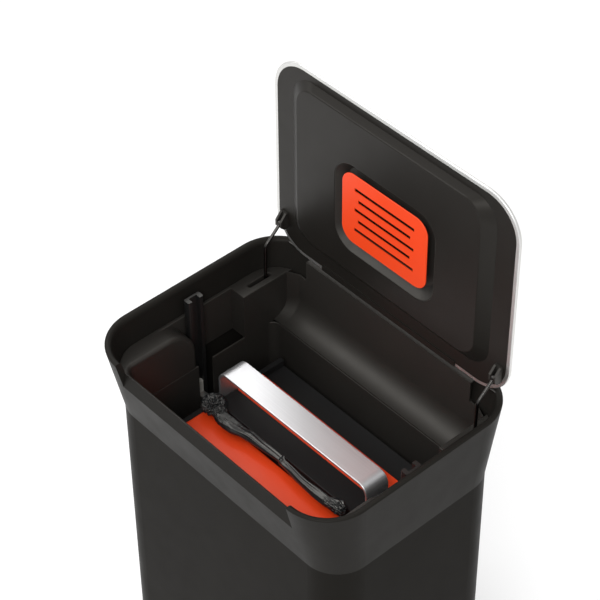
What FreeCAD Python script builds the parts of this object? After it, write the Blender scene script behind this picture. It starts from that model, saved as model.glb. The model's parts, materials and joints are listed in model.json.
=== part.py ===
import FreeCAD, Part
import math
import os
import re

import Sketcher

# Free-standing kitchen waste bin with a hand-pressed compaction head, lid open and head part-way down.
# +Z is up, the front faces -Y, and the origin is on the floor under the centre of the collar.

doc = FreeCAD.newDocument("trash_compactor")
V = FreeCAD.Vector

# ---------------------------------------------------------------- driving dimensions, in millimetres

DIMENSIONS = {
    # collar and body
    "rim_height": 712, "collar_half_x": 215, "collar_front": 160.35, "collar_rear": 160.35,
    "collar_corner": 64, "flare_height": 110.5, "body_half_x": 206.4, "body_front": 134.95,
    "body_rear": 136.85, "body_corner": 47.2, "shell_wall": 1.2, "shell_bottom": 60,
    "mouth_half_x": 205, "mouth_y": 152, "mouth_corner": 52, "rim_round": 2,
    "mouth_round": 6,
    "waist_half_x": 201, "waist_front": 124, "waist_rear": 133.5, "waist_corner": 42,
    "notch_half_x": 152, "notch_foot_depth": 51.7, "notch_low_y": 153, "notch_high_y": 143,
    "notch_top_depth": 9.5,
    # inner frame and rear cove
    "ledge_depth": 43, "frame_depth": 112.8, "fit_gap": 0.2, "ledge_round": 1,
    "throat_half_x": 174.7, "throat_front": 120, "throat_top_front": 131, "throat_corner": 12,
    "throat_rear": 30, "shoulder_radius": 42, "lip_round": 5,
    "pocket_front": 19, "pocket_rear": 60, "pocket_half_x": 198.5,
    "rear_half_x": 174, "rear_wall": 139.5,
    "cove_radius": 30, "cove_depth": 110, "cove_inner_y": 100, "cove_half_x": 158,
    "cove_end_x": 173.8, "cove_end_radius": 24, "cove_end_wall": 132,
    "panel_half_x": 145, "panel_top_depth": 12, "panel_wall": 2.2, "panel_flange": 4.7,
    "panel_lip": 9.5, "slot_front": 78, "slot_rear": 115, "slot_width": 6,
    # bucket
    "bucket_half_x": 177.2, "bucket_front": 119, "bucket_rear": 112, "bucket_corner": 14,
    "bucket_wall": 2.5, "bucket_bottom": 78.5, "bucket_top_depth": 113.1,
    "arm_slot_depth": 350, "arm_slot_half": 12, "bucket_round": 0.8,
    # guide rails and their brackets
    "rail_inner_x": 188, "rail_outer_x": 198.3, "rail_y": -5, "rail_width": 24, "rail_corner": 2,
    "rail_top_depth": 15, "rail_bottom_depth": 400, "groove_width": 12, "groove_x": 195.2,
    "rail_bracket_half": 8, "rail_bracket_height": 20, "upper_bracket_depth": 160,
    "lower_bracket_depth": 360,
    # plinth and feet
    "plinth_bottom": 10, "plinth_inset": 2, "plinth_wall": 3, "tray_height": 75,
    "spigot_gap": 0.3, "spigot_height": 8, "foot_radius": 13, "post_radius": 14,
    "foot_front_x": 165, "foot_rear_x": 138, "foot_front_y": 92, "foot_rear_y": 116,
    "foot_height": 10, "screw_radius": 1.8, "screw_head": 1.6, "screw_x": 120, "screw_height": 79,
    "wire_slot_half": 4, "wire_slot_front": 17, "wire_slot_rear": 8,
    # pedal
    "axle_y": -70, "axle_height": 39.7, "axle_radius": 4, "bracket_x": 70, "bracket_half": 2,
    "bracket_reach": 12, "lever_x": 60, "lever_half": 2.5, "lever_rise": 8, "bush_wall": 2,
    "pedal_half_x": 66, "pedal_front": 160, "pedal_depth": 19, "pedal_thick": 6, "pedal_round": 2,
    "bar_y": 93.5, "bar_height": 63, "bar_radius": 3, "notch_low": 14, "notch_high": 57,
    "notch_margin": 4,
    # lid, at rest standing open
    "hinge_y": 144.5, "hinge_drop": 4.3, "lid_half_x": 202, "lid_corner": 53, "lid_foot": 7,
    "lid_top": 289.5, "lid_face_y": 141.7, "lid_back_y": 146.7, "lid_hem": 5.5, "skin_wall": 1,
    "skin_front_round": 1.5, "skin_back_round": 3,
    "plug_base_x": 168, "plug_top_x": 152, "plug_height": 10, "plug_base_low": 22,
    "plug_base_high": 274, "plug_top_low": 36, "plug_top_high": 269, "plug_corner": 34,
    "plug_taper": 6, "panel_skin": 2.5, "plug_inset": 3, "plug_round": 2.4,
    "strip_half_x": 116.5, "strip_low": 6.5, "strip_high": 2, "strip_thick": 1.3,
    "pin_radius": 1.55, "pin_inner_x": 155, "pin_outer_x": 190, "pin_collar_x": 165,
    # odour filter in the lid
    "recess_half_x": 85, "recess_low": 68.7, "recess_high": 204.5, "recess_corner": 32,
    "recess_slope": 12.5, "tray_floor": 1.6, "cover_half_x": 71.5, "cover_low": 86,
    "cover_high": 191.7, "cover_corner": 20, "cover_round": 0.7, "cover_skin": 1.2,
    "cover_post_inset": 14.5, "cover_post_rise": 30, "cover_post_radius": 3, "filter_inset": 19,
    "filter_depth": 4,
    "vent_long": 50, "vent_short": 44, "vent_first": 108.9, "vent_pitch": 15.4, "vent_width": 5.2,
    # lugs and link wires
    "lug_x": 186, "lug_y": 134, "lug_rise": 31, "lug_half": 5.5, "lug_pin_radius": 1.5,
    "lug_slot": 5, "lug_tail": 9, "lug_head": 15, "lug_shoulder": 3, "lug_nose": 4,
    "lug_brow": 5, "lug_gap_depth": 5.2, "wire_radius": 2.1, "wire_bend": 9, "knee_y": 108, "knee_rise": 7,
    "wire_foot_y": 99, "wire_foot_height": 63, "loop_half_y": 10, "loop_wall": 3.2,
    "loop_low": -9.4, "loop_high": 4.2,
    # compaction head, depths below the rim at rest
    "head_half_x": 138, "jaw_top_depth": 148, "jaw_front": 110, "jaw_rear": 34, "jaw_skin": 3,
    "jaw_corner": 12, "jaw_depth": 16, "jaw_round": 3, "jaw_axis_y": -101, "jaw_axis_depth": 160,
    "jaw_pin_radius": 2.5, "spring_wire": 0.9, "beam_front": 26.5, "beam_half_x": 131.4,
    "beam_bottom_depth": 178, "beam_wall": 3, "cover_rear": 8, "cover_top_depth": 137,
    "cover_thick": 3, "plate_rear": 47, "plate_round": 1.5, "plate_corner": 4,
    "plate_lip": 3, "plate_step": 0.4, "plate_apron": 14, "plate_inset": 2, "seam_gap": 0.3, "skirt_rear": 96,
    "side_inner_x": 140, "side_outer_x": 147, "side_bottom_depth": 172, "side_height": 20,
    "strap_half_x": 135, "strap_wall": 3.5, "strap_half_y": 18, "strap_top_depth": 90,
    "strap_bend": 16, "strap_foot_depth": 154, "strap_round": 1.2,
    "strap_spare": 40, "screw_spread": 10, "screw_lift": 7,
    "arm_inner_x": 60, "arm_half_y": 5, "arm_height": 10, "shoe_height": 46, "shoe_gap": 0.3,
    # rolled neck of the waste liner
    "neck_radius": 7, "bunch_radius": 12, "neck_y": -35, "neck_depth": 134, "neck_left": 128,
    "neck_right": 112,
}

sheet = doc.addObject("Spreadsheet::Sheet", "dims")
for row, (alias, value) in enumerate(DIMENSIONS.items(), start=1):
    sheet.set("A%d" % row, alias)
    sheet.set("B%d" % row, str(value))
    sheet.setAlias("B%d" % row, alias)
doc.recompute()

WORDS = re.compile(r"\b(" + "|".join(sorted(DIMENSIONS, key=len, reverse=True)) + r")\b")
NODES = []
MIRROR = (-1, 1)
TOUCH = 0.01
LEAST_CUT = 1e-3
TILT = "(bar_height - axle_height) / (bar_y - axle_y)"
HINGE_Z = "rim_height - hinge_drop"
COLLAR_FOOT = "rim_height - flare_height"


def bind(item, prop, text):
    """Bind a property to a formula of sheet cells."""
    item.setExpression(prop, WORDS.sub(r"dims.\1", str(text)))


def size(name):
    """The value that a cell of the sheet holds."""
    return float(sheet.get(name))


probe = doc.addObject("App::FeaturePython", "probe")
probe.addProperty("App::PropertyFloat", "Number")


def value(text):
    """The number that a formula of sheet cells gives now."""
    bind(probe, "Number", text)
    probe.recompute()
    return probe.Number


def down(depth):
    """The height of a place that lies a depth below the rim."""
    return "rim_height - (%s)" % depth


# ---------------------------------------------------------------- sketch outlines

def rect(u0, u1, v0, v1, corner=None):
    """An outline: a rectangle between four formulas, with an optional corner radius."""
    if corner is None:
        return polygon((u0, v0), (u1, v0), (u1, v1), (u0, v1))

    def draw(sketch):
        a, b, c, d, r = (value(text) for text in (u0, u1, v0, v1, corner))
        ends = [((a + r, c), (b - r, c)), ((b, c + r), (b, d - r)),
                ((b - r, d), (a + r, d)), ((a, d - r), (a, c + r))]
        centres = [(b - r, c + r), (b - r, d - r), (a + r, d - r), (a + r, c + r)]
        n = sketch.GeometryCount
        for first, last in ends:
            sketch.addGeometry(Part.LineSegment(V(*first, 0), V(*last, 0)))
        for i, centre in enumerate(centres):
            circle = Part.Circle(V(*centre, 0), V(0, 0, 1), r)
            sketch.addGeometry(Part.ArcOfCircle(circle, math.radians(90 * i - 90), math.radians(90 * i)))
        for i in range(4):
            sketch.addConstraint(Sketcher.Constraint("Tangent", n + i, 2, n + 4 + i, 1))
            sketch.addConstraint(Sketcher.Constraint("Tangent", n + 4 + i, 2, n + (i + 1) % 4, 1))
        for i in (5, 6, 7):
            sketch.addConstraint(Sketcher.Constraint("Equal", n + 4, n + i))
        for kind, line in (("Horizontal", 0), ("Horizontal", 2), ("Vertical", 1), ("Vertical", 3)):
            sketch.addConstraint(Sketcher.Constraint(kind, n + line))
        tie(sketch, Sketcher.Constraint("Radius", n + 4, r), corner)
        tie(sketch, Sketcher.Constraint("DistanceX", -1, 1, n + 3, 1, a), u0)
        tie(sketch, Sketcher.Constraint("DistanceX", -1, 1, n + 1, 1, b), u1)
        tie(sketch, Sketcher.Constraint("DistanceY", -1, 1, n, 1, c), v0)
        tie(sketch, Sketcher.Constraint("DistanceY", -1, 1, n + 2, 1, d), v1)
    return draw


def tie(sketch, constraint, text):
    """Add a dimension to a sketch and bind it to its formula."""
    index = sketch.addConstraint(constraint)
    bind(sketch, "Constraints[%d]" % index, text)


def polygon(*points):
    """An outline with straight sides through points given as pairs of formulas."""
    def draw(sketch):
        spots = [V(value(u), value(v), 0) for u, v in points]
        count = len(spots)
        first = sketch.GeometryCount
        for i in range(count):
            sketch.addGeometry(Part.LineSegment(spots[i], spots[(i + 1) % count]))
        for i in range(count):
            after = first + (i + 1) % count
            sketch.addConstraint(Sketcher.Constraint("Coincident", first + i, 2, after, 1))
        for i, (u, v) in enumerate(points):
            tie(sketch, Sketcher.Constraint("DistanceX", -1, 1, first + i, 1, spots[i].x), u)
            tie(sketch, Sketcher.Constraint("DistanceY", -1, 1, first + i, 1, spots[i].y), v)
    return draw


def circles(radius, *centres):
    """An outline of equal circles."""
    def draw(sketch):
        for u, v in centres:
            spot = V(value(u), value(v), 0)
            i = sketch.addGeometry(Part.Circle(spot, V(0, 0, 1), value(radius)))
            tie(sketch, Sketcher.Constraint("Radius", i, value(radius)), radius)
            tie(sketch, Sketcher.Constraint("DistanceX", -1, 1, i, 3, spot.x), u)
            tie(sketch, Sketcher.Constraint("DistanceY", -1, 1, i, 3, spot.y), v)
    return draw


def several(*outlines):
    """An outline made of separate ones."""
    def draw(sketch):
        for outline in outlines:
            outline(sketch)
    return draw


def cove(radius, wall_y, top, edge_depth):
    """The coved profile in Y and Z: down the wall, round the cove and out along its edge."""
    def draw(sketch):
        wall, high, r, inner = value(wall_y), value(top), value(radius), value("cove_inner_y")
        low = value(down(edge_depth))
        centre = V(wall - r, low + r, 0)
        corners = [V(inner, high, 0), V(wall, high, 0), V(wall, centre.y, 0), V(centre.x, low, 0),
                   V(inner, low, 0)]
        sketch.addGeometry(Part.LineSegment(corners[0], corners[1]))
        sketch.addGeometry(Part.LineSegment(corners[1], corners[2]))
        sketch.addGeometry(Part.ArcOfCircle(Part.Circle(centre, V(0, 0, 1), r), -math.pi / 2, 0))
        sketch.addGeometry(Part.LineSegment(corners[3], corners[4]))
        sketch.addGeometry(Part.LineSegment(corners[4], corners[0]))
        link = Sketcher.Constraint
        sketch.addConstraint(link("Coincident", 0, 2, 1, 1))
        sketch.addConstraint(link("Tangent", 1, 2, 2, 2))
        sketch.addConstraint(link("Tangent", 2, 1, 3, 1))
        sketch.addConstraint(link("Coincident", 3, 2, 4, 1))
        sketch.addConstraint(link("Coincident", 4, 2, 0, 1))
        for kind, line in (("Horizontal", 0), ("Vertical", 1), ("Horizontal", 3), ("Vertical", 4)):
            sketch.addConstraint(link(kind, line))
        tie(sketch, link("Radius", 2, r), radius)
        tie(sketch, link("DistanceX", -1, 1, 1, 1, wall), wall_y)
        tie(sketch, link("DistanceY", -1, 1, 1, 1, high), top)
        tie(sketch, link("DistanceY", -1, 1, 3, 1, low), down(edge_depth))
        tie(sketch, link("DistanceX", -1, 1, 4, 1, inner), "cove_inner_y")
    return draw


def around(half_x, front, rear, corner, inset="0"):
    """A rounded outline seen from above, drawn in by an inset."""
    return rect("-(%s) + (%s)" % (half_x, inset), "(%s) - (%s)" % (half_x, inset),
                "-(%s) + (%s)" % (front, inset), "(%s) - (%s)" % (rear, inset),
                "(%s) - (%s)" % (corner, inset))


def body_outline(inset="0"):
    return around("body_half_x", "body_front", "body_rear", "body_corner", inset)


def cavity_outline(depth, inset="0"):
    """The collar's cavity at a depth: the mouth at the rim, the waist where the flare ends."""
    def at(mouth, waist):
        return "%s + (%s - %s) * (%s) / flare_height" % (mouth, waist, mouth, depth)
    return around(at("mouth_half_x", "waist_half_x"), at("mouth_y", "waist_front"),
                  at("mouth_y", "waist_rear"), at("mouth_corner", "waist_corner"), inset)


# ---------------------------------------------------------------- features

def new_body(label):
    item = doc.addObject("PartDesign::Body", label)
    item.Label = label
    item.AllowCompound = True
    NODES.append(item)
    return item


def sketch_on(item, plane, outline, offset):
    """A sketch on one of the body's own origin planes, moved along the plane's normal."""
    sketch = item.newObject("Sketcher::SketchObject", item.Label + "_sketch")
    support = next(f for f in item.Origin.OriginFeatures if f.Role == plane + "_Plane")
    sketch.AttachmentSupport = [(support, "")]
    sketch.MapMode = "FlatFace"
    bind(sketch, "AttachmentOffset.Base.z", offset)
    outline(sketch)
    return sketch


def prism(item, plane, outline, low, high, cut=False):
    """Pad or pocket an outline between two places along the plane's axis.

    The XZ plane's normal is -Y, so its pads start at the high end and its pockets at the low one.
    """
    backwards = plane == "XZ"
    start = low if cut == backwards else high
    offset = "-(%s)" % start if backwards else start
    sketch = sketch_on(item, plane, outline, offset)
    kind = "PartDesign::Pocket" if cut else "PartDesign::Pad"
    feature = item.newObject(kind, item.Label + ("_pocket" if cut else "_pad"))
    feature.Profile = sketch
    bind(feature, "Length", "(%s) - (%s)" % (high, low))
    return feature


def carve(item, plane, outline, low, high):
    before = volume(item)
    prism(item, plane, outline, low, high, cut=True)
    after = volume(item)
    if after > before - LEAST_CUT:
        raise RuntimeError("a pocket cut nothing in " + item.Label)


def volume(item):
    doc.recompute()
    return item.Shape.Volume


def loft(item, plane, sections, cut=False):
    """A ruled loft through (outline, offset) sections."""
    sketches = [sketch_on(item, plane, outline, offset) for outline, offset in sections]
    kind = "PartDesign::SubtractiveLoft" if cut else "PartDesign::AdditiveLoft"
    feature = item.newObject(kind, item.Label + "_loft")
    feature.Profile = sketches[0]
    feature.Sections = sketches[1:]
    feature.Ruled = True


def flat_at(axis, place):
    """A test for edges that lie at one place along an axis."""
    spot = value(place)

    def test(box):
        return max(abs(getattr(box, axis + "Min") - spot), abs(getattr(box, axis + "Max") - spot)) < TOUCH
    return test


def within(half_x, half_y):
    """A test for edges that lie inside a rectangle round the origin, seen from above."""
    x, y = value(half_x), value(half_y)

    def test(box):
        return max(-box.XMin, box.XMax) < x and max(-box.YMin, box.YMax) < y
    return test


def soften(item, radius, picks):
    """Round the edges of a body whose bounding boxes pass a test."""
    doc.recompute()
    base = item.Tip
    names = ["Edge%d" % i for i, edge in enumerate(base.Shape.Edges, start=1) if picks(edge.BoundBox)]
    feature = item.newObject("PartDesign::Fillet", item.Label + "_fillet")
    feature.Base = (base, names)
    bind(feature, "Radius", radius)


def run_to(side, place):
    """A place along X on one side."""
    return "%d * (%s)" % (side, place)


def both_sides(outline_of):
    """The same outline on the left and on the right."""
    return several(*(outline_of(side) for side in MIRROR))


def strip(side, inner, outer, v0, v1, corner=None):
    """A rectangle between two distances from the middle plane, on one side."""
    low, high = (inner, outer) if side > 0 else ("-(%s)" % outer, "-(%s)" % inner)
    return rect(low, high, v0, v1, corner)


def run(side, inner, outer):
    """The two ends, low then high, of a stretch along X on one side."""
    return (inner, outer) if side > 0 else ("-(%s)" % outer, "-(%s)" % inner)


# ---------------------------------------------------------------- body, collar and inner frame

def make_body_shell():
    item = new_body("body_shell")
    prism(item, "XY", body_outline(), "shell_bottom", COLLAR_FOOT)
    carve(item, "XY", body_outline("shell_wall"), "shell_bottom", COLLAR_FOOT)
    holes = circles("screw_radius", *(("%d * screw_x" % side, "screw_height") for side in MIRROR))
    carve(item, "XZ", holes, "body_rear - 2 * shell_wall", "body_rear + 1")


def make_top_collar():
    item = new_body("top_collar")
    outer = around("collar_half_x", "collar_front", "collar_rear", "collar_corner")
    loft(item, "XY", [(body_outline(), COLLAR_FOOT), (outer, "rim_height")])
    loft(item, "XY", [(cavity_outline("flare_height"), COLLAR_FOOT), (cavity_outline("0"), "rim_height")],
         cut=True)
    level, inner = flat_at("Z", "rim_height"), within("mouth_half_x + 1", "mouth_y + 1")
    soften(item, "rim_round", lambda box: level(box) and not inner(box))
    soften(item, "mouth_round", lambda box: level(box) and inner(box))
    # the finger notch is a slanting bevel across the front
    above, before = "rim_height + 5", "-collar_front - 10"
    bevel = polygon(("-notch_low_y", down("notch_foot_depth")), ("-notch_high_y", down("notch_top_depth")),
                    ("-notch_high_y", above), (before, above), (before, down("notch_foot_depth")))
    carve(item, "YZ", bevel, "-notch_half_x", "notch_half_x")
    room, end_room = panel_outlines(down("ledge_depth"), "panel_wall + fit_gap")
    carve(item, "YZ", room, "-cove_half_x - fit_gap", "cove_half_x + fit_gap")
    for side in MIRROR:
        loft(item, "YZ", [(room, run_to(side, "cove_half_x + fit_gap")),
                          (end_room, run_to(side, "cove_end_x + fit_gap"))], cut=True)
    for side in MIRROR:
        carve(item, "YZ", circles("pin_radius", ("hinge_y", HINGE_Z)),
              *run(side, "pin_collar_x", "pin_outer_x"))


def panel_outlines(top, wall="0"):
    """The coved profile in the middle of the rear and at its ends, grown outwards by a wall."""
    depth = "cove_depth + " + wall
    middle = cove("cove_radius + " + wall, "rear_wall + " + wall, top, depth)
    end = cove("cove_end_radius + " + wall, "cove_end_wall + " + wall, top, depth)
    return middle, end


def make_inner_frame():
    item = new_body("inner_frame")
    top, bottom = down("ledge_depth"), down("frame_depth")
    loft(item, "XY", [(cavity_outline("frame_depth", "fit_gap"), bottom),
                      (cavity_outline("ledge_depth", "fit_gap"), top)])
    throat = [rect("-throat_half_x", "throat_half_x", "-" + front, "throat_rear", "throat_corner")
              for front in ("throat_front", "throat_top_front")]
    loft(item, "XY", [(throat[0], bottom), (throat[1], top)], cut=True)
    pocket = rect("-pocket_half_x", "pocket_half_x", "-pocket_front", "pocket_rear")
    carve(item, "XY", pocket, bottom, top)
    carve(item, "XY", rect("-rear_half_x", "rear_half_x", "throat_rear - 20", "collar_rear"), bottom, top)
    slots = both_sides(lambda side: strip(side, "lug_x - slot_width / 2", "lug_x + slot_width / 2",
                                          "slot_front", "slot_rear", "slot_width / 2 - 0.1"))
    carve(item, "XY", slots, bottom, top)
    # the side ledges end in big rounds at the gaps of the guide rails, and their lips are rounded over
    level, across = flat_at("Z", top), flat_at("Y", "-pocket_front")
    soften(item, "shoulder_radius", lambda box: across(box) and level(box))
    left, right = flat_at("X", "-throat_half_x"), flat_at("X", "throat_half_x")
    soften(item, "lip_round", lambda box: level(box) and (left(box) or right(box)))
    soften(item, "ledge_round", level)


def make_rear_panel():
    item = new_body("rear_panel")
    ledge, wall = down("ledge_depth"), "rear_wall + panel_wall"
    above = down("ledge_depth - 1")
    outer, outer_end = panel_outlines(ledge, "panel_wall")
    inner, inner_end = panel_outlines(above)
    prism(item, "YZ", outer, "-cove_half_x", "cove_half_x")
    carve(item, "YZ", inner, "-cove_half_x", "cove_half_x")
    for side in MIRROR:
        start, stop = run_to(side, "cove_half_x"), run_to(side, "cove_end_x")
        loft(item, "YZ", [(outer, start), (outer_end, stop)])
        loft(item, "YZ", [(inner, start), (inner_end, stop)], cut=True)
    lip = rect("cove_inner_y - 1", "rear_wall - cove_radius", down("cove_depth + 10"), above)
    carve(item, "YZ", lip, "-cove_end_x - 1", "cove_end_x + 1")
    prism(item, "YZ", rect(wall, "rear_wall + panel_flange", down("ledge_depth + 2"), ledge),
          "-panel_half_x", "panel_half_x")
    top = down("panel_top_depth")
    prism(item, "YZ", rect("rear_wall", wall, down("ledge_depth + 1"), top), "-panel_half_x", "panel_half_x")
    prism(item, "YZ", rect("rear_wall", "rear_wall + panel_lip", down("panel_top_depth + 2"), top),
          "-panel_half_x", "panel_half_x")


def make_guide_rail(name, side):
    item = new_body("guide_rail_" + name)
    low, high = down("rail_bottom_depth"), down("rail_top_depth")
    half = "rail_width / 2"
    prism(item, "XY", strip(side, "rail_inner_x", "rail_outer_x", "rail_y - " + half, "rail_y + " + half,
                            "rail_corner"), low, high)
    groove = strip(side, "rail_inner_x - 3", "groove_x", "rail_y - groove_width / 2",
                   "rail_y + groove_width / 2")
    carve(item, "XY", groove, low, high)


def make_rail_brackets():
    item = new_body("rail_brackets")
    for depth in ("upper_bracket_depth", "lower_bracket_depth"):
        blocks = both_sides(lambda side: strip(side, "rail_outer_x", "body_half_x - shell_wall",
                                               "rail_y - rail_bracket_half", "rail_y + rail_bracket_half"))
        prism(item, "XY", blocks, down(depth + " + rail_bracket_height"), down(depth))


def make_bucket():
    item = new_body("bucket")
    shape = ("bucket_half_x", "bucket_front", "bucket_rear", "bucket_corner")
    top = down("bucket_top_depth")
    prism(item, "XY", around(*shape), "bucket_bottom", top)
    carve(item, "XY", around(*shape, inset="bucket_wall"), "bucket_bottom + bucket_wall", top)
    soften(item, "bucket_round", flat_at("Z", top))
    slots = both_sides(lambda side: strip(side, "bucket_half_x - 8", "bucket_half_x + 8",
                                          "rail_y - arm_slot_half", "rail_y + arm_slot_half"))
    carve(item, "XY", slots, down("arm_slot_depth"), top)


# ---------------------------------------------------------------- base and pedal

def make_base_plinth():
    item = new_body("base_plinth")
    floor, brim = "tray_height + plinth_wall", "tray_height + spigot_height"
    spigot = "shell_wall + spigot_gap"
    prism(item, "XY", body_outline("plinth_inset"), "plinth_bottom", "shell_bottom")
    prism(item, "XY", body_outline(spigot), "shell_bottom", brim)
    carve(item, "XY", body_outline("plinth_inset + plinth_wall"), "plinth_bottom", "tray_height")
    carve(item, "XY", body_outline(spigot + " + plinth_wall"), floor, brim)
    prism(item, "XY", circles("post_radius", *foot_places()), "plinth_bottom", "tray_height")
    slots = both_sides(lambda side: strip(side, "lug_x - wire_slot_half", "lug_x + wire_slot_half",
                                          "wire_foot_y - wire_slot_front", "wire_foot_y + wire_slot_rear",
                                          "wire_slot_half - 0.1"))
    carve(item, "XY", slots, "tray_height", floor)
    carve(item, "XZ", rect("-pedal_half_x - notch_margin", "pedal_half_x + notch_margin", "notch_low",
                           "notch_high", "notch_margin"),
          "-body_front - 2", "-body_front + 8")
    holes = circles("screw_radius", *(("%d * screw_x" % side, "screw_height") for side in MIRROR))
    carve(item, "XZ", holes, "body_rear - 8", "body_rear + 1")


def foot_places():
    front = [("%d * foot_front_x" % side, "-foot_front_y") for side in MIRROR]
    rear = [("%d * foot_rear_x" % side, "foot_rear_y") for side in MIRROR]
    return front + rear


def make_rubber_feet():
    item = new_body("rubber_feet")
    prism(item, "XY", circles("foot_radius", *foot_places()), "0", "foot_height")


def make_plinth_screws():
    item = new_body("plinth_screws")
    places = [("%d * screw_x" % side, "screw_height") for side in MIRROR]
    prism(item, "XZ", circles("screw_radius", *places), "body_rear - 7", "body_rear")
    prism(item, "XZ", circles("screw_radius * 2", *places), "body_rear", "body_rear + screw_head")


def make_pedal_brackets():
    item = new_body("pedal_brackets")
    front, rear = "axle_y - bracket_reach", "axle_y + bracket_reach"
    plate = rect(front, rear, "axle_height - bracket_reach", "tray_height", "bracket_reach / 2")
    square = rect(front, rear, "axle_height + bracket_reach", "tray_height")
    bore = circles("axle_radius", ("axle_y", "axle_height"))
    for side in MIRROR:
        ends = run(side, "bracket_x - bracket_half", "bracket_x + bracket_half")
        prism(item, "YZ", plate, *ends)
        prism(item, "YZ", square, *ends)
        carve(item, "YZ", bore, *ends)


def make_pedal_axle():
    item = new_body("pedal_axle")
    prism(item, "YZ", circles("axle_radius", ("axle_y", "axle_height")), "-bracket_x - 5", "bracket_x + 5")


def lever_z(y, rise):
    """The height on the tilted lever at a place along Y."""
    return "axle_height + (%s - axle_y) * %s + (%s)" % (y, TILT, rise)


def lever_band(y0, y1, low, high):
    return polygon((y0, lever_z(y0, low)), (y1, lever_z(y1, low)), (y1, lever_z(y1, high)),
                   (y0, lever_z(y0, high)))


def make_pedal_lever():
    item = new_body("pedal_lever")
    for side in MIRROR:
        prism(item, "YZ", lever_band("-pedal_front + 6", "bar_y + lever_rise", "-lever_rise", "lever_rise"),
              *run(side, "lever_x - lever_half", "lever_x + lever_half"))
    prism(item, "YZ", lever_band("-pedal_front + 6", "-pedal_front + pedal_depth - 2", "lever_rise / 2",
                                 "lever_rise"), "-lever_x", "lever_x")
    prism(item, "YZ", circles("bar_radius", ("bar_y", "bar_height")), "-lug_x - 6", "lug_x + 6")
    for side in MIRROR:
        carve(item, "YZ", circles("axle_radius + bush_wall", ("axle_y", "axle_height")),
              *run(side, "lever_x - lever_half", "lever_x + lever_half"))


def make_pedal_bushes():
    item = new_body("pedal_bushes")
    centre = ("axle_y", "axle_height")
    for side in MIRROR:
        ends = run(side, "lever_x - lever_half - 1", "lever_x + lever_half + 1")
        prism(item, "YZ", circles("axle_radius + bush_wall", centre), *ends)
        carve(item, "YZ", circles("axle_radius + 0.05", centre), *ends)


def make_pedal_pad():
    item = new_body("pedal_pad")
    band = lever_band("-pedal_front", "-pedal_front + pedal_depth", "lever_rise", "lever_rise + pedal_thick")
    prism(item, "YZ", band, "-pedal_half_x", "pedal_half_x")
    soften(item, "pedal_round", lambda box: True)


# ---------------------------------------------------------------- lid

def lid_rect(half_x, low, high, corner, inset="0"):
    """A rounded outline on the standing lid, with heights above the rim."""
    return rect("-(%s) + (%s)" % (half_x, inset), "(%s) - (%s)" % (half_x, inset),
                "rim_height + (%s) + (%s)" % (low, inset), "rim_height + (%s) - (%s)" % (high, inset),
                "(%s) - (%s)" % (corner, inset))


def make_lid_skin():
    item = new_body("lid_skin")
    outline = ("lid_half_x", "-lid_foot", "lid_top", "lid_corner")
    prism(item, "XZ", lid_rect(*outline), "lid_face_y + fit_gap", "lid_back_y")
    soften(item, "skin_back_round", flat_at("Y", "lid_back_y"))
    soften(item, "skin_front_round", flat_at("Y", "lid_face_y + fit_gap"))
    carve(item, "XZ", lid_rect(*outline, inset="lid_hem"), "lid_face_y", "lid_back_y - skin_wall")
    for side in MIRROR:
        carve(item, "YZ", circles("pin_radius + 0.05", ("hinge_y", HINGE_Z)),
              *run(side, "pin_inner_x - 2", "pin_outer_x"))


def make_lid_panel():
    item = new_body("lid_panel")
    outline = ("lid_half_x", "-lid_foot", "lid_top", "lid_corner")
    prism(item, "XZ", lid_rect(*outline, inset="lid_hem + fit_gap"), "lid_face_y", "lid_back_y - skin_wall")
    base = lid_rect("plug_base_x", "plug_base_low", "plug_base_high", "plug_corner")
    crown = lid_rect("plug_top_x", "plug_top_low", "plug_top_high", "plug_corner - plug_taper")
    loft(item, "XZ", [(base, "-lid_face_y"), (crown, "-lid_face_y + plug_height")])
    soften(item, "plug_round", flat_at("Y", "lid_face_y - plug_height"))
    hollow = lid_rect("plug_top_x", "plug_top_low", "plug_top_high", "plug_corner - plug_taper",
                      inset="plug_inset")
    carve(item, "XZ", hollow, "lid_face_y - plug_height + panel_skin", "lid_back_y")
    recess = lid_rect("recess_half_x", "recess_low", "recess_high", "recess_corner")
    carve(item, "XZ", recess, "lid_face_y - plug_height - 1", "lid_back_y")
    # a strip along the foot covers the hem where the pins run
    prism(item, "XZ", rect("-strip_half_x", "strip_half_x", down("strip_low"), "rim_height + strip_high"),
          "lid_face_y - strip_thick", "lid_face_y")


def filter_posts():
    """The four places near the sides of the filter cover where it snaps into the tray."""
    x = "cover_half_x - cover_post_inset"
    heights = ("rim_height + cover_low + cover_post_rise", "rim_height + cover_high - cover_post_rise")
    return [(run_to(side, x), z) for side in MIRROR for z in heights]


def make_filter_tray():
    item = new_body("filter_tray")
    shape = ("recess_half_x", "recess_low", "recess_high", "recess_corner")
    front = "lid_face_y - plug_height + 0.4"
    prism(item, "XZ", lid_rect(*shape, inset="fit_gap"), front, "lid_back_y - skin_wall")
    floor = "-lid_back_y + skin_wall + tray_floor"
    loft(item, "XZ", [(lid_rect(*shape, inset="1"), "-(%s)" % front),
                      (lid_rect(*shape, inset="recess_slope"), floor)], cut=True)


def make_carbon_filter():
    item = new_body("carbon_filter")
    pad = lid_rect("cover_half_x", "cover_low", "cover_high", "cover_corner", inset="filter_inset")
    prism(item, "XZ", pad, "lid_face_y - plug_height + filter_depth", "lid_back_y - skin_wall - tray_floor")


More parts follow.
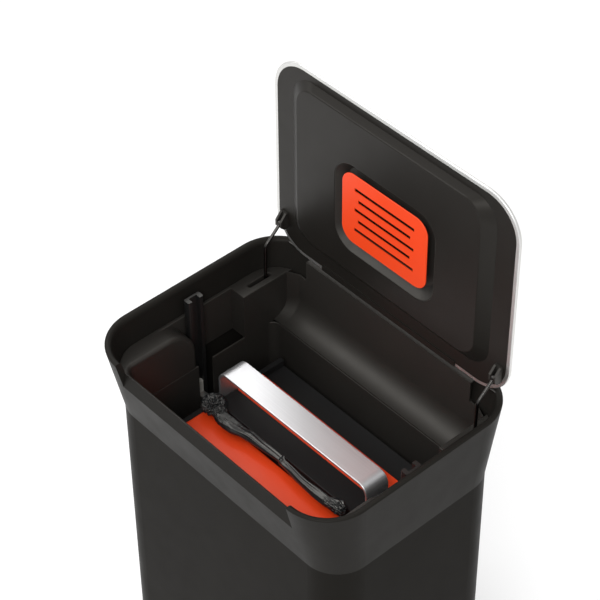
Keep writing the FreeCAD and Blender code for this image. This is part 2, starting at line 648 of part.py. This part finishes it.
def make_filter_cover():
    item = new_body("filter_cover")
    shape = ("cover_half_x", "cover_low", "cover_high", "cover_corner")
    face, back = "lid_face_y - plug_height", "lid_back_y - skin_wall - tray_floor"
    prism(item, "XZ", lid_rect(*shape), face, face + " + cover_skin")
    soften(item, "cover_round", flat_at("Y", face))
    prism(item, "XZ", circles("cover_post_radius", *filter_posts()), face + " + cover_skin", back)
    for i in range(5):
        half = "vent_short" if i % 2 else "vent_long"
        middle = "rim_height + vent_first + %d * vent_pitch" % i
        slot = rect("-" + half, half, middle + " - vent_width / 2", middle + " + vent_width / 2")
        carve(item, "XZ", slot, face + " - 1", face + " + cover_skin")


def make_lid_lugs():
    item = new_body("lid_lugs")
    z = "rim_height + lug_rise"
    cheek = polygon(("lid_face_y", z + " - lug_tail"), ("lid_face_y", z + " + lug_head"),
                    ("lid_face_y - lug_shoulder", z + " + lug_head"), ("lug_y - lug_nose", z + " + lug_brow"),
                    ("lug_y - lug_nose", z + " - lug_nose"), ("lug_y + 1", z + " - lug_tail"))
    gap = rect("lug_y - lug_head", "lug_y + lug_gap_depth", z + " - 2 * lug_head", z + " + 2 * lug_head")
    bore = circles("lug_pin_radius", ("lug_y", z))
    for side in MIRROR:
        prism(item, "YZ", cheek, *run(side, "lug_x - lug_half", "lug_x + lug_half"))
        carve(item, "YZ", gap, *run(side, "lug_x - lug_slot / 2", "lug_x + lug_slot / 2"))
        carve(item, "YZ", bore, *run(side, "lug_x - lug_half", "lug_x + lug_half"))


def make_lug_pins():
    item = new_body("lug_pins")
    for side in MIRROR:
        prism(item, "YZ", circles("lug_pin_radius", ("lug_y", "rim_height + lug_rise")),
              *run(side, "lug_x - lug_half", "lug_x + lug_half"))


def make_hinge_pins():
    item = new_body("hinge_pins")
    for side in MIRROR:
        prism(item, "YZ", circles("pin_radius", ("hinge_y", HINGE_Z)),
              *run(side, "pin_inner_x", "pin_outer_x"))


def make_link_wire(name, side):
    """A bent wire: an eye on the lug pin, a slant to the knee, a long run down, and an open loop."""
    x = side * size("lug_x")
    radius = size("wire_radius")
    eye = V(x, size("lug_y"), size("rim_height") + size("lug_rise"))
    knee = V(x, size("knee_y"), size("rim_height") + size("knee_rise"))
    foot = V(x, size("wire_foot_y"), size("wire_foot_height"))
    slant, drop = (knee - eye).normalize(), (foot - knee).normalize()
    bend = size("wire_bend")
    tangent = bend * math.tan(slant.getAngle(drop) / 2)
    a, b = knee - slant * tangent, knee + drop * tangent
    to_centre = (drop - slant).normalize()
    middle = knee + to_centre * (math.hypot(bend, tangent) - bend)
    start, end = eye + slant * 3, foot + V(0, 0, 6)
    spine = Part.Wire([Part.makeLine(start, a), Part.Arc(a, middle, b).toShape(), Part.makeLine(b, end)])
    section = Part.Wire(Part.makeCircle(radius, start, slant))
    wire = spine.makePipeShell([section], True, False)
    half = radius - 0.1
    ring = Part.makeCylinder(2 * radius, 2 * half, eye - V(half, 0, 0), V(1, 0, 0))
    loop_y, wall = size("loop_half_y"), size("loop_wall")
    low, high = size("loop_low"), size("loop_high")
    plate = Part.makeBox(2 * half, 2 * (loop_y + wall), high - low + 2 * wall,
                         foot + V(-half, -loop_y - wall, low - wall))
    window = Part.makeBox(2 * half + 2, 2 * loop_y, high - low, foot + V(-half - 1, -loop_y, low))
    bore = Part.makeCylinder(size("lug_pin_radius") + 0.05, 20, eye - V(10, 0, 0), V(1, 0, 0))
    item = doc.addObject("Part::Feature", "link_wire_" + name)
    item.Shape = wire.fuse([ring, plate]).cut(window).cut(bore).removeSplitter()
    item.Label = "link_wire_" + name
    NODES.append(item)


# ---------------------------------------------------------------- compaction head

def make_carriage_frame():
    item = new_body("carriage_frame")
    low, high = down("beam_bottom_depth"), down("cover_top_depth + cover_thick")
    prism(item, "XY", rect("-beam_half_x", "beam_half_x", "-beam_front", "plate_rear"), low, high)
    inside = rect("-beam_half_x + beam_wall", "beam_half_x - beam_wall", "-beam_front + beam_wall",
                  "plate_rear - beam_wall")
    carve(item, "XY", inside, low + " + beam_wall", high)
    side_low, side_high = down("side_bottom_depth"), down("side_bottom_depth - side_height")
    for side in MIRROR:
        prism(item, "XY", strip(side, "side_inner_x", "side_outer_x", "-jaw_front - 4", "skirt_rear"),
              side_low, side_high)
        prism(item, "XY", strip(side, "beam_half_x - 1", "side_inner_x + 1", "strap_half_y + 4",
                                "plate_rear"), side_low, side_high)
    prism(item, "XY", rect("-side_outer_x", "side_outer_x", "plate_rear - 1", "skirt_rear"),
          side_low, side_low + " + side_height / 2")
    for side in MIRROR:
        carve(item, "YZ", circles("jaw_pin_radius", ("jaw_axis_y", down("jaw_axis_depth"))),
              *run(side, "side_inner_x - 1", "side_outer_x + 1"))
        carve(item, "YZ", circles("screw_radius", *strap_screws()),
              *run(side, "beam_half_x - beam_wall - 1", "beam_half_x + 1"))


def strap_screws():
    return [(run_to(side, "screw_spread"), down("strap_foot_depth - screw_lift")) for side in MIRROR]


def make_centre_cover():
    item = new_body("centre_cover")
    top = down("cover_top_depth")
    prism(item, "XY", rect("-beam_half_x", "beam_half_x", "-beam_front", "cover_rear", "plate_corner"),
          top + " - cover_thick", top)
    soften(item, "ledge_round", flat_at("Z", top))


def make_rear_press_plate():
    item = new_body("rear_press_plate")
    top = down("cover_top_depth + plate_step")
    prism(item, "XY", rect("-beam_half_x", "beam_half_x", "cover_rear + seam_gap", "plate_rear + plate_lip",
                           "plate_corner"),
          down("cover_top_depth + cover_thick"), top)
    soften(item, "plate_round", flat_at("Z", top))
    apron = rect("-beam_half_x + plate_inset", "beam_half_x - plate_inset", "plate_rear + fit_gap",
                 "plate_rear + plate_inset")
    prism(item, "XY", apron, down("cover_top_depth + plate_apron"), down("cover_top_depth + cover_thick"))


def make_handle_strap():
    item = new_body("handle_strap")
    low = "strap_foot_depth + strap_spare"
    outer = rect("-strap_half_x", "strap_half_x", down(low), down("strap_top_depth"), "strap_bend")
    inner = rect("-strap_half_x + strap_wall", "strap_half_x - strap_wall", down(low + " + 9"),
                 down("strap_top_depth + strap_wall"), "strap_bend - strap_wall")
    prism(item, "XZ", outer, "-strap_half_y", "strap_half_y")
    carve(item, "XZ", inner, "-strap_half_y - 1", "strap_half_y + 1")
    below = rect("-strap_half_x - 9", "strap_half_x + 9", down(low + " + 9"), down("strap_foot_depth"))
    carve(item, "XZ", below, "-strap_half_y - 1", "strap_half_y + 1")
    front, rear = flat_at("Y", "-strap_half_y"), flat_at("Y", "strap_half_y")
    soften(item, "strap_round", lambda box: front(box) or rear(box))
    for side in MIRROR:
        carve(item, "YZ", circles("screw_radius", *strap_screws()),
              *run(side, "beam_half_x - 1", "strap_half_x + 1"))


def make_handle_screws():
    item = new_body("handle_screws")
    for side in MIRROR:
        prism(item, "YZ", circles("screw_radius", *strap_screws()),
              *run(side, "beam_half_x - 6", "strap_half_x"))
        prism(item, "YZ", circles("screw_radius * 2", *strap_screws()),
              *run(side, "strap_half_x", "strap_half_x + screw_head"))


def make_carriage_arms():
    item = new_body("carriage_arms")
    top = down("beam_bottom_depth")
    for side in MIRROR:
        prism(item, "XY", strip(side, "arm_inner_x", "rail_inner_x + 0.4", "rail_y - arm_half_y",
                                "rail_y + arm_half_y"), top + " - arm_height", top)


def make_guide_shoe(name, side):
    item = new_body("guide_shoe_" + name)
    middle = down("beam_bottom_depth") + " - arm_height / 2"
    half = "groove_width / 2 - shoe_gap"
    prism(item, "XY", strip(side, "rail_inner_x + 0.4", "groove_x - shoe_gap", "rail_y - (%s)" % half,
                            "rail_y + " + half, "1.5"),
          middle + " - shoe_height / 2", middle + " + shoe_height / 2")


def make_jaw_pin():
    item = new_body("jaw_pin")
    prism(item, "YZ", circles("jaw_pin_radius", ("jaw_axis_y", down("jaw_axis_depth"))),
          "-side_outer_x", "side_outer_x")


def make_front_jaw():
    item = new_body("front_jaw")
    shape = ("head_half_x", "jaw_front", "-jaw_rear", "jaw_corner")
    top = down("jaw_top_depth")
    prism(item, "XY", around(*shape), top + " - jaw_depth", top)
    soften(item, "jaw_round", flat_at("Z", top))
    carve(item, "XY", around(*shape, inset="jaw_skin"), top + " - jaw_depth", top + " - jaw_skin")
    axis = ("jaw_axis_y", down("jaw_axis_depth"))
    for side in MIRROR:
        prism(item, "YZ", circles("jaw_pin_radius + 3", axis), *run(side, "70", "head_half_x - 2"))
    carve(item, "YZ", circles("jaw_pin_radius + 0.05", axis), "-head_half_x - 1", "head_half_x + 1")


def make_jaw_springs():
    """Two close-wound torsion springs round the jaw pin."""
    item = doc.addObject("Part::Feature", "jaw_springs")
    wire, turns = size("spring_wire"), 6
    pitch = wire * 2.4
    coil_radius = size("jaw_pin_radius") + wire + 0.6
    coils = []
    for side in MIRROR:
        helix = Part.makeHelix(pitch, pitch * turns, coil_radius)
        section = Part.Wire(Part.makeCircle(wire, V(coil_radius, 0, 0), V(0, 1, 0)))
        coil = Part.Wire(helix.Edges).makePipeShell([section], True, True)
        coil.rotate(V(0, 0, 0), V(0, 1, 0), 90)
        coil.translate(V(side * 35 - pitch * turns / 2, size("jaw_axis_y"),
                         size("rim_height") - size("jaw_axis_depth")))
        coils.append(coil)
    item.Shape = Part.makeCompound(coils)
    item.Label = "jaw_springs"
    NODES.append(item)


def make_liner_neck():
    """The rolled neck of the waste liner, as one plain closed solid."""
    item = new_body("liner_neck")
    axis = ("neck_y", down("neck_depth"))
    prism(item, "YZ", circles("neck_radius", axis), "-neck_left", "neck_right")
    prism(item, "YZ", circles("bunch_radius", ("neck_y - 6", down("neck_depth"))),
          "-neck_left - 6", "-neck_left + 20")


make_body_shell()
make_top_collar()
make_inner_frame()
make_rear_panel()
make_bucket()
make_rail_brackets()
make_base_plinth()
make_rubber_feet()
make_plinth_screws()
make_pedal_brackets()
make_pedal_axle()
make_pedal_lever()
make_pedal_bushes()
make_pedal_pad()
make_lid_skin()
make_lid_panel()
make_filter_tray()
make_carbon_filter()
make_filter_cover()
make_lid_lugs()
make_lug_pins()
make_hinge_pins()
make_carriage_frame()
make_centre_cover()
make_rear_press_plate()
make_handle_strap()
make_handle_screws()
make_carriage_arms()
make_jaw_pin()
make_front_jaw()
make_jaw_springs()
make_liner_neck()
for side_name, side_sign in (("left", -1), ("right", 1)):
    make_guide_rail(side_name, side_sign)
    make_guide_shoe(side_name, side_sign)
    make_link_wire(side_name, side_sign)

# ---------------------------------------------------------------- check and write

doc.recompute()
for thing in doc.Objects:
    if "Invalid" in thing.State or "Error" in thing.State:
        raise RuntimeError("failed feature: " + thing.Name)
os.makedirs("parts", exist_ok=True)
for node in NODES:
    shape = node.Shape
    if shape.isNull() or not shape.isValid():
        raise RuntimeError("bad shape: " + node.Label)
    shape.exportStep("parts/" + node.Label + ".step")
    box = shape.BoundBox
    print("%-18s %d solids %9.0f mm3  z %.1f to %.1f" % (node.Label, len(shape.Solids), shape.Volume,
                                                         box.ZMin, box.ZMax))
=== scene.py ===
"""Looks of the trash compactor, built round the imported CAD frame. Lengths are in metres."""
import json
import math

import bmesh
import bpy
from mathutils import Matrix, Vector, noise as field


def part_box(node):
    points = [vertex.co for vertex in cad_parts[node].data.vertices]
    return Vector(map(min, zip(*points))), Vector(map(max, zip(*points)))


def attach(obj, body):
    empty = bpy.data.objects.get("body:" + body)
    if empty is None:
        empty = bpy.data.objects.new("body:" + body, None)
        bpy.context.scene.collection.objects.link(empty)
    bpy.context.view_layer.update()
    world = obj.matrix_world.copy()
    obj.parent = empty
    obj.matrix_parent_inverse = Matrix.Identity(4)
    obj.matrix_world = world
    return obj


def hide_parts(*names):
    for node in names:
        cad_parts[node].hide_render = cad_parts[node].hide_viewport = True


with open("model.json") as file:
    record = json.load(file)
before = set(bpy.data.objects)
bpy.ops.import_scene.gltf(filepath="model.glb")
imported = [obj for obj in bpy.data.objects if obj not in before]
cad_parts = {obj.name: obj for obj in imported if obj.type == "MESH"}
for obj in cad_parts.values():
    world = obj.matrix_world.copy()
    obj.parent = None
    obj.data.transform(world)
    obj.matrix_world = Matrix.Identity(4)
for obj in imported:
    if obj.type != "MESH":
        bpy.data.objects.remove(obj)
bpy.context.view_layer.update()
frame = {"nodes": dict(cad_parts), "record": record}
nodes = frame["nodes"]
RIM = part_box("top_collar")[1].z  # height of the collar's rim

WHITE = (1, 1, 1, 1)
WARM_TINT = (1, 0.965, 0.9, 1)  # tint of every surface's gloss

# camera: azimuth from the front, elevation and roll in degrees, lens and sensor in millimetres
CAMERA_AZIMUTH = 48.29
CAMERA_ELEVATION = 42.92
CAMERA_ROLL = -0.52
CAMERA_PLACE = (1.3454, -1.1995, RIM + 1.7866)
CAMERA_LENS = 128.34
CAMERA_SENSOR = 36
CAMERA_REACH = 100

FLOOR_HALF = 12
FLOOR_COLOUR = (0.86, 0.86, 0.86)
FLOOR_GLOW = 0.05
SKY_STRENGTH = 0.85

LIGHT_TARGET = (0, 0, 0.64)  # the compaction head
SOFTBOXES = [  # name, place, side, power in watts
    ("key", (1.15, -1.45, 2.5), 0.85, 36),
    ("left_box", (-1.3, -1.0, 2.2), 1.3, 20),
    ("rear_box", (-1.4, 1.15, 2.3), 1.1, 11),
]

OUTER_BLACK = (0.0112, 0.0103, 0.0090)
INNER_BLACK = (0.0150, 0.0136, 0.0120)

TUFTS = [  # name, x, y, lift over the neck's middle, reach, flatness, seed of the creases
    ("liner_knot", -0.126, -0.034, 0.001, 0.0145, 0.80, 1.7),
    ("liner_knot_neck", -0.111, -0.037, 0.001, 0.0092, 0.80, 4.1),
    ("liner_tail", 0.106, -0.0345, -0.001, 0.0085, 0.75, 2.6),
]


# ---------------------------------------------------------------- camera, floor and light

def add_camera():
    """A long lens that looks down at the front right corner."""
    azimuth = math.radians(CAMERA_AZIMUTH)
    elevation = math.radians(CAMERA_ELEVATION)
    roll = math.radians(CAMERA_ROLL)
    back = Vector((math.sin(azimuth) * math.cos(elevation), -math.cos(azimuth) * math.cos(elevation),
                   math.sin(elevation)))
    level = Vector((math.cos(azimuth), math.sin(azimuth), 0))
    upright = back.cross(level)
    right = level * math.cos(roll) + upright * math.sin(roll)
    up = upright * math.cos(roll) - level * math.sin(roll)
    data = bpy.data.cameras.new("camera")
    data.sensor_width = CAMERA_SENSOR
    data.lens = CAMERA_LENS
    data.clip_end = CAMERA_REACH
    camera = bpy.data.objects.new("camera", data)
    bpy.context.scene.collection.objects.link(camera)
    turn = Matrix((right, up, back)).transposed().to_4x4()
    camera.matrix_world = Matrix.Translation(CAMERA_PLACE) @ turn
    bpy.context.scene.camera = camera


def add_softbox(name, place, side, power):
    """A square softbox that faces the target."""
    data = bpy.data.lights.new(name, "AREA")
    data.shape = "RECTANGLE"
    data.size = side
    data.size_y = side
    data.energy = power
    light = bpy.data.objects.new(name, data)
    bpy.context.scene.collection.objects.link(light)
    aim = (Vector(LIGHT_TARGET) - Vector(place)).to_track_quat("-Z", "Y").to_matrix().to_4x4()
    light.matrix_world = Matrix.Translation(place) @ aim
    light.visible_camera = False


def add_floor():
    """A wide white floor that glows a little."""
    mesh = bpy.data.meshes.new("floor")
    half = FLOOR_HALF
    corners = [(-half, -half, 0), (half, -half, 0), (half, half, 0), (-half, half, 0)]
    mesh.from_pydata(corners, [], [(0, 1, 2, 3)])
    floor = bpy.data.objects.new("floor", mesh)
    bpy.context.scene.collection.objects.link(floor)
    mat, _, shader = new_material("floor_white", FLOOR_COLOUR, 0.95, specular=0.1)
    shader.inputs["Emission Color"].default_value = WHITE
    shader.inputs["Emission Strength"].default_value = FLOOR_GLOW
    mesh.materials.append(mat)


def add_studio():
    """A pale room with softboxes near the camera, at the left and behind the left rear corner."""
    scene = bpy.context.scene
    world = bpy.data.worlds.new("world")
    scene.world = world
    world.use_nodes = True
    sky = world.node_tree.nodes["Background"]
    sky.inputs["Color"].default_value = WHITE
    sky.inputs["Strength"].default_value = SKY_STRENGTH
    scene.view_settings.view_transform = "Standard"
    for name, place, side, power in SOFTBOXES:
        add_softbox(name, place, side, power)


# ---------------------------------------------------------------- shader building blocks

def new_material(name, colour, roughness, metallic=0.0, specular=0.5):
    """A plain material, with its node tree and its shader."""
    mat = bpy.data.materials.new(name)
    mat.use_nodes = True
    shader = mat.node_tree.nodes["Principled BSDF"]
    shader.inputs["Base Color"].default_value = (*colour, 1)
    shader.inputs["Roughness"].default_value = roughness
    shader.inputs["Metallic"].default_value = metallic
    shader.inputs["Specular IOR Level"].default_value = specular
    shader.inputs["Specular Tint"].default_value = WARM_TINT
    return mat, mat.node_tree, shader


def add_node(tree, kind, **inputs):
    """A shader node with some of its inputs set by name."""
    made = tree.nodes.new("ShaderNode" + kind)
    for key, given in inputs.items():
        made.inputs[key.replace("_", " ")].default_value = given
    return made


def coordinates(tree, scale=(1, 1, 1)):
    """Object coordinates, scaled."""
    source = tree.nodes.new("ShaderNodeTexCoord")
    mapping = add_node(tree, "Mapping", Scale=scale)
    tree.links.new(source.outputs["Object"], mapping.inputs["Vector"])
    return mapping.outputs["Vector"]


def cloud(tree, vector, scale, detail=2.0):
    """Noise between 0 and 1."""
    made = add_node(tree, "TexNoise", Scale=scale, Detail=detail)
    tree.links.new(vector, made.inputs["Vector"])
    return made.outputs["Fac"]


def spread(tree, source, low, high):
    """Maps 0..1 to low..high."""
    made = add_node(tree, "MapRange", To_Min=low, To_Max=high)
    tree.links.new(source, made.inputs["Value"])
    return made.outputs["Result"]


def vary_gloss(tree, shader, source, roughness, less, more):
    """Lets a value between 0 and 1 move the roughness by a little."""
    gloss = spread(tree, source, roughness - less, roughness + more)
    tree.links.new(gloss, shader.inputs["Roughness"])


def vary_colour(tree, shader, source, colour, share):
    """Lets a value between 0 and 1 darken and lighten the base colour by a share."""
    mix = tree.nodes.new("ShaderNodeMix")
    mix.data_type = "RGBA"
    mix.inputs["A"].default_value = (*(c * (1 - share) for c in colour), 1)
    mix.inputs["B"].default_value = (*(min(1, c * (1 + share)) for c in colour), 1)
    tree.links.new(source, mix.inputs["Factor"])
    tree.links.new(mix.outputs["Result"], shader.inputs["Base Color"])


def add_bump(tree, shader, source, strength, distance):
    """Fine relief from a value between 0 and 1."""
    bump = add_node(tree, "Bump", Strength=strength, Distance=distance)
    tree.links.new(source, bump.inputs["Height"])
    tree.links.new(bump.outputs["Normal"], shader.inputs["Normal"])


# ---------------------------------------------------------------- materials

def moulded(name, colour, roughness, grain=900, strength=0.12, specular=0.4, share=0.12):
    """Moulded plastic: a fine spark-eroded grain and slightly uneven gloss and colour."""
    blotches, smears, detail = 9, 35, 3
    mat, tree, shader = new_material(name, colour, roughness, specular=specular)
    spot = coordinates(tree)
    vary_colour(tree, shader, cloud(tree, spot, blotches, detail), colour, share)
    vary_gloss(tree, shader, cloud(tree, spot, smears, detail), roughness, less=0.06, more=0.08)
    add_bump(tree, shader, cloud(tree, spot, grain, detail), strength, distance=0.0002)
    return name, mat


def brushed(name, colour, roughness, along, strength=0.08):
    """Brushed metal: long fine scratches along one axis."""
    across_scale, along_scale, detail = 900.0, 7.0, 4
    mat, tree, shader = new_material(name, colour, roughness, metallic=1.0)
    scale = [along_scale if axis == along else across_scale for axis in "xyz"]
    lines = cloud(tree, coordinates(tree, scale), 1.0, detail)
    vary_colour(tree, shader, lines, colour, share=0.1)
    vary_gloss(tree, shader, lines, roughness, less=0.08, more=0.12)
    add_bump(tree, shader, lines, strength, distance=0.0001)
    return name, mat


def wrinkled_film(name, colour, roughness):
    """Thin glossy film with soft creases."""
    patches, smears, creases, detail = 60, 140, 200, 3
    mat, tree, shader = new_material(name, colour, roughness, specular=0.5)
    spot = coordinates(tree, (0.4, 1, 1))  # drawn out along the roll
    vary_colour(tree, shader, cloud(tree, spot, patches, detail), colour, share=0.3)
    vary_gloss(tree, shader, cloud(tree, spot, smears, detail), roughness, less=0.06, more=0.12)
    add_bump(tree, shader, cloud(tree, spot, creases, detail), strength=0.14, distance=0.0005)
    return name, mat


def make_materials():
    """One material for each slot of the record."""
    made = [
        moulded("graphite_paint", OUTER_BLACK, 0.38, grain=420, strength=0.05, specular=0.018),
        moulded("collar_plastic", OUTER_BLACK, 0.44, specular=0.07),
        moulded("frame_plastic", INNER_BLACK, 0.52, specular=0.45),
        moulded("bucket_plastic", INNER_BLACK, 0.52, specular=0.45),
        moulded("head_plastic", (0.0095, 0.0095, 0.010), 0.5, specular=0.25),
        moulded("lid_plastic", (0.0112, 0.0100, 0.0087), 0.36, specular=0.18),
        moulded("shoe_plastic", (0.35, 0.34, 0.31), 0.5),
        moulded("orange_plastic", (0.76, 0.052, 0.007), 0.42, strength=0.05, share=0.04),
        moulded("rail_metal", (0.009, 0.009, 0.009), 0.4),
        brushed("brushed_steel", (0.70, 0.70, 0.69), 0.42, "x"),
        brushed("handle_steel", (0.70, 0.70, 0.71), 0.44, "x"),
        brushed("pedal_steel", (0.62, 0.62, 0.61), 0.38, "x"),
        brushed("wire_steel", (0.045, 0.043, 0.041), 0.3, "z"),
        brushed("zinc_steel", (0.45, 0.45, 0.44), 0.4, "x"),
        moulded("rubber", (0.01, 0.01, 0.01), 0.8),
        moulded("filter_foam", (0.004, 0.004, 0.004), 0.95, grain=300, strength=0.8, specular=0.1),
        wrinkled_film("liner_film", (0.012, 0.013, 0.014), 0.26),
    ]
    return dict(made)


def dress_cad_nodes():
    """Every CAD node takes the material of its slot in the record."""
    for part in frame["record"]["subparts"]:
        mesh = nodes[part["node"]].data
        mesh.materials.clear()
        mesh.materials.append(materials[part["material_slot"]])


# ---------------------------------------------------------------- rolled neck of the waste liner

def smooth_between(stops, at):
    """The value at a place along (place, value) stops, eased between them."""
    for (x0, v0), (x1, v1) in zip(stops, stops[1:]):
        if at <= x1:
            share = max(0.0, (at - x0) / (x1 - x0))
            share = share * share * (3 - 2 * share)
            return v0 + (v1 - v0) * share
    return stops[-1][1]


def make_mesh_piece(name, points, faces, slot, body):
    """A smooth-shaded piece with a slot and a body."""
    mesh = bpy.data.meshes.new(name)
    mesh.from_pydata([tuple(p) for p in points], [], faces)
    mesh.update()
    for face in mesh.polygons:
        face.use_smooth = True
    mesh.materials.append(materials[slot])
    piece = bpy.data.objects.new(name, mesh)
    bpy.context.scene.collection.objects.link(piece)
    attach(piece, body)
    return piece


def skin_faces(count, rows):
    """Faces of a closed skin over rows of equal rings of points."""
    faces = []
    for i in range(rows - 1):
        for j in range(count):
            k = (j + 1) % count
            faces.append((i * count + j, i * count + k, (i + 1) * count + k, (i + 1) * count + j))
    last = (rows - 1) * count
    faces.append(tuple(reversed(range(count))))
    faces.append(tuple(range(last, last + count)))
    return faces


def ridge(spot):
    """Noise with sharp crests, between 0 and 1."""
    steepness = 2.2
    return 1 - min(1.0, steepness * abs(field.noise(spot)))


def make_liner_roll(height):
    """The liner's mouth, folded flat behind the knot and rolled along the front of the centre cover."""
    # places along the roll: (x, value)
    drift = [(-0.122, -0.037), (-0.100, -0.041), (-0.082, -0.041), (-0.045, -0.037), (0.002, -0.0345),
             (0.010, -0.0365), (0.048, -0.039), (0.085, -0.0385), (0.112, -0.034)]
    radius = [(-0.122, 0.004), (-0.114, 0.0085), (-0.098, 0.0100), (-0.080, 0.0094), (-0.062, 0.0062),
              (-0.030, 0.0048), (0.000, 0.0042), (0.0035, 0.0060), (0.0075, 0.0046), (0.040, 0.0055),
              (0.075, 0.0074), (0.095, 0.0068), (0.104, 0.0078), (0.111, 0.0050), (0.114, 0.001)]
    flatness = [(-0.122, 0.9), (-0.100, 0.50), (-0.075, 0.55), (-0.050, 1.0), (0.020, 1.0), (0.070, 0.72),
                (0.114, 0.85)]
    crumple = [(-0.122, 0.5), (-0.108, 0.10), (-0.070, 0.0), (0.080, 0.0), (0.095, 0.2), (0.114, 0.6)]
    start, stop, steps, around = -0.122, 0.114, 300, 80
    crest_angle, crest_width, crest_rise = math.radians(62), 0.26, 0.42  # one crest runs the whole length
    sway, sway_rate = 0.35, 31
    broad_rise, broad_folds, broad_twist = 0.06, 3, 40
    fine_rise, fine_folds, fine_twist = 0.02, 8, -60
    dent_rise, dent_rate, dent_zoom = 0.07, 40, 2.2
    crease_zoom, crease_mean = 3, 0.45
    rings = []
    for i in range(steps + 1):
        x = start + (stop - start) * i / steps
        size, rough = smooth_between(radius, x), smooth_between(crumple, x)
        squeeze, middle = smooth_between(flatness, x), smooth_between(drift, x)
        lean = crest_angle + sway * math.sin(sway_rate * x)
        for j in range(around):
            angle = 2 * math.pi * j / around
            off = (angle - lean + math.pi) % (2 * math.pi) - math.pi
            crest = crest_rise * math.exp(-(off / crest_width) ** 2)
            folds = (broad_rise * math.sin(broad_folds * angle + broad_twist * x)
                     + fine_rise * math.sin(fine_folds * angle + fine_twist * x))
            spot = Vector((x * dent_rate, dent_zoom * math.cos(angle), dent_zoom * math.sin(angle)))
            soft = dent_rise * field.noise(spot) + rough * (ridge(spot * crease_zoom) - crease_mean)
            reach = size * (1 + crest + folds + soft)
            rings.append((x, middle + reach * math.cos(angle), height + squeeze * reach * math.sin(angle)))
    piece = make_mesh_piece("liner_roll", rings, skin_faces(around, steps + 1), "liner_film", "carriage")
    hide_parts("liner_neck")


def make_tuft(name, centre, reach, flat, seed):
    """A crumpled bunch of film: a ball pushed in and out along sharp folds."""
    core, creases = 0.62, ((0.34, 2.3, 1), (0.22, 5.5, -1), (0.05, 11, 1))  # rise, zoom, way of the shift
    ball = bmesh.new()
    bmesh.ops.create_icosphere(ball, subdivisions=6, radius=1)
    shift = Vector((seed, 2 * seed, -seed))
    points = []
    for vert in ball.verts:
        way = vert.co.normalized()
        push = core
        for rise, zoom, side in creases:
            push += rise * ridge(way * zoom + shift * side)
        points.append(Vector(centre) + Vector((way.x, way.y, way.z * flat)) * reach * push)
    faces = [tuple(vert.index for vert in face.verts) for face in ball.faces]
    ball.free()
    make_mesh_piece(name, points, faces, "liner_film", "carriage")


def make_liner_neck():
    """The roll, with a tied knot at its left end and a crumpled tail at its right."""
    low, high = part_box("liner_neck")
    height = (low.z + high.z) / 2
    make_liner_roll(height)
    for name, x, y, lift, reach, flat, seed in TUFTS:
        make_tuft(name, (x, y, height + lift), reach, flat, seed)


# ---------------------------------------------------------------- build

add_camera()
add_floor()
add_studio()
materials = make_materials()
dress_cad_nodes()
make_liner_neck()
